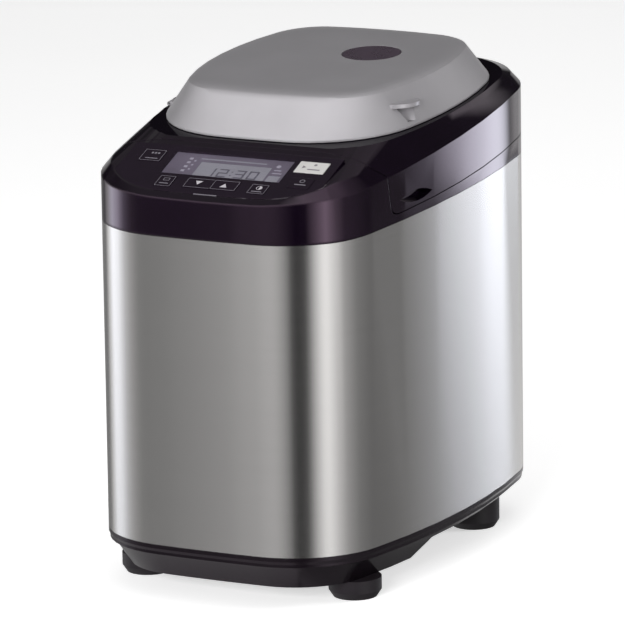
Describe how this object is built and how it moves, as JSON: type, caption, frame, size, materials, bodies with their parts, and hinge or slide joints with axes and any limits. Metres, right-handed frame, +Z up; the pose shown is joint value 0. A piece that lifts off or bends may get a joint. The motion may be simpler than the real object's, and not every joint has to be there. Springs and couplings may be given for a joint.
{
  "type": "bread machine",
  "caption": "Upright bread machine with a steel wrap, sloping control panel, rear-hinged lid, dispenser lid with vent, baking chamber, twist-in pan and belt-driven kneading blade.",
  "frame": {"origin": "on the floor under the centre of the footprint, at the bottoms of the feet", "axes": "+Z up, front with the control panel towards -Y, right side towards +X"},
  "size_m": [0.252, 0.3858, 0.3929],
  "materials": {
    "plum_plastic": "high gloss plum black",
    "panel_plum": "gloss film over the panel",
    "start_grey": "light grey",
    "display_tint": "tinted clear window",
    "display_face": "display face",
    "circuit_board": "solder mask",
    "steel_skin": "brushed upright",
    "silver_plastic": "satin silver paint",
    "vent_plum": "gloss",
    "foot_rubber": "matt",
    "belt_rubber": "matt",
    "seal_silicone": "soft white",
    "black_plastic": "fine grain",
    "bright_steel": "plated",
    "plated_steel": "aluminised sheet",
    "liner_aluminium": "satin",
    "heater_steel": "heat darkened",
    "bronze": "sintered",
    "nonstick_pan": "non-stick coating",
    "cast_aluminium": "die cast",
    "grey_plastic": "fine grain",
    "coil_brass": "wound coil",
    "cream_plastic": "moulded",
    "motor_iron": "laminated iron and zinc bells"
  },
  "bodies": {
    "body": {"base": "plum_plastic", "front_left_foot": "foot_rubber", "front_right_foot": "foot_rubber", "rear_left_foot": "foot_rubber", "rear_right_foot": "foot_rubber", "foot_screws": "bright_steel", "steel_wrap": "steel_skin", "collar": "plum_plastic", "control_panel": "panel_plum", "display_window": "display_tint", "display_module": "display_face", "control_board": "circuit_board", "hinge_rod": "bright_steel", "baking_chamber": "plated_steel", "chamber_screws": "bright_steel", "heater": "heater_steel", "heater_clips": "plated_steel", "temperature_sensor": "plated_steel", "thermal_fuse": "bronze", "bayonet_seat": "plated_steel", "bearing_housing": "cast_aluminium", "drive_belt": "belt_rubber", "motor": "motor_iron", "chassis_plate": "plated_steel", "chassis_screws": "bright_steel", "power_board": "circuit_board", "motor_capacitor": "cream_plastic", "cord_inlet": "black_plastic"},
    "lid": {"lid_shell": "plum_plastic", "lid_liner": "liner_aluminium", "lid_seal": "seal_silicone", "nut_dispenser": "grey_plastic", "yeast_dispenser": "grey_plastic", "flap_pins": "bright_steel", "flap_solenoids": "coil_brass", "dispenser_lid_pins": "bright_steel"},
    "top_lid": {"dispenser_lid": "silver_plastic", "vent_cap": "vent_plum"},
    "nut_gate": {"nut_flap": "grey_plastic"},
    "yeast_gate": {"yeast_flap": "grey_plastic"},
    "pan": {"bread_pan": "nonstick_pan", "pan_base_ring": "cast_aluminium", "pan_bearing": "bronze"},
    "handle": {"pan_handle": "bright_steel"},
    "blade": {"kneading_blade": "nonstick_pan", "blade_shaft": "bright_steel", "pan_coupling": "cast_aluminium"},
    "drive": {"drive_coupling": "cast_aluminium", "drive_shaft": "bright_steel", "large_pulley": "cream_plastic"},
    "rotor": {"motor_shaft": "bright_steel", "motor_pulley": "cast_aluminium"},
    "menu_key_cap": {"menu_key": "panel_plum"},
    "size_key_cap": {"size_key": "panel_plum"},
    "down_key_cap": {"down_key": "panel_plum"},
    "up_key_cap": {"up_key": "panel_plum"},
    "timer_key_cap": {"timer_key": "panel_plum"},
    "start_key_cap": {"start_key": "start_grey"},
    "stop_key_cap": {"stop_key": "panel_plum"}
  },
  "joints": [
    {"name": "lid_hinge", "type": "hinge", "parent": "body", "child": "lid", "pos_m": [0, 0.184, 0.335], "axis": [-1, 0, 0], "range_deg": [0, 93]},
    {"name": "top_lid_hinge", "type": "hinge", "parent": "lid", "child": "top_lid", "pos_m": [-0.11015, 0.02533, 0.35768], "axis": [0, -0.997, -0.0778], "range_deg": [0, 95]},
    {"name": "nut_flap_hinge", "type": "hinge", "parent": "lid", "child": "nut_gate", "pos_m": [0, 0.00546, 0.30252], "axis": [1, 0, 0], "range_deg": [0, 78]},
    {"name": "yeast_flap_hinge", "type": "hinge", "parent": "lid", "child": "yeast_gate", "pos_m": [-0.036, 0.08821, 0.30898], "axis": [1, 0, 0], "range_deg": [0, 78]},
    {"name": "pan_twist", "type": "hinge", "parent": "body", "child": "pan", "pos_m": [0, 0.042, 0.104], "axis": [0, 0, 1], "range_deg": [0, 12]},
    {"name": "handle_swing", "type": "hinge", "parent": "pan", "child": "handle", "pos_m": [0, 0.042, 0.236], "axis": [0, -1, 0], "range_deg": [0, 60]},
    {"name": "drive_spin", "type": "hinge", "parent": "body", "child": "drive", "pos_m": [0, 0.042, 0.043], "axis": [0, 0, 1], "continuous": true},
    {"name": "blade_spin", "type": "hinge", "parent": "body", "child": "blade", "pos_m": [0, 0.042, 0.11], "axis": [0, 0, 1], "continuous": true},
    {"name": "motor_spin", "type": "hinge", "parent": "body", "child": "rotor", "pos_m": [0, -0.128, 0.043], "axis": [0, 0, 1], "continuous": true},
    {"name": "menu_key_press", "type": "slide", "parent": "body", "child": "menu_key_cap", "axis": [0, 0.3714, -0.9285], "range_m": [0, 0.0008], "stiffness_N_per_m": 400, "springref_m": -0.0004},
    {"name": "size_key_press", "type": "slide", "parent": "body", "child": "size_key_cap", "axis": [0, 0.3714, -0.9285], "range_m": [0, 0.0008], "stiffness_N_per_m": 400, "springref_m": -0.0004},
    {"name": "down_key_press", "type": "slide", "parent": "body", "child": "down_key_cap", "axis": [0, 0.3714, -0.9285], "range_m": [0, 0.0008], "stiffness_N_per_m": 400, "springref_m": -0.0004},
    {"name": "up_key_press", "type": "slide", "parent": "body", "child": "up_key_cap", "axis": [0, 0.3714, -0.9285], "range_m": [0, 0.0008], "stiffness_N_per_m": 400, "springref_m": -0.0004},
    {"name": "timer_key_press", "type": "slide", "parent": "body", "child": "timer_key_cap", "axis": [0, 0.3714, -0.9285], "range_m": [0, 0.0008], "stiffness_N_per_m": 400, "springref_m": -0.0004},
    {"name": "start_key_press", "type": "slide", "parent": "body", "child": "start_key_cap", "axis": [0, 0.3714, -0.9285], "range_m": [0, 0.0008], "stiffness_N_per_m": 400, "springref_m": -0.0004},
    {"name": "stop_key_press", "type": "slide", "parent": "body", "child": "stop_key_cap", "axis": [0, 0.3714, -0.9285], "range_m": [0, 0.0008], "stiffness_N_per_m": 400, "springref_m": -0.0004}
  ],
  "couplings": [
    {"joint": "blade_spin", "follows": "drive_spin", "ratio": 1},
    {"joint": "motor_spin", "follows": "drive_spin", "ratio": 6.5}
  ]
}
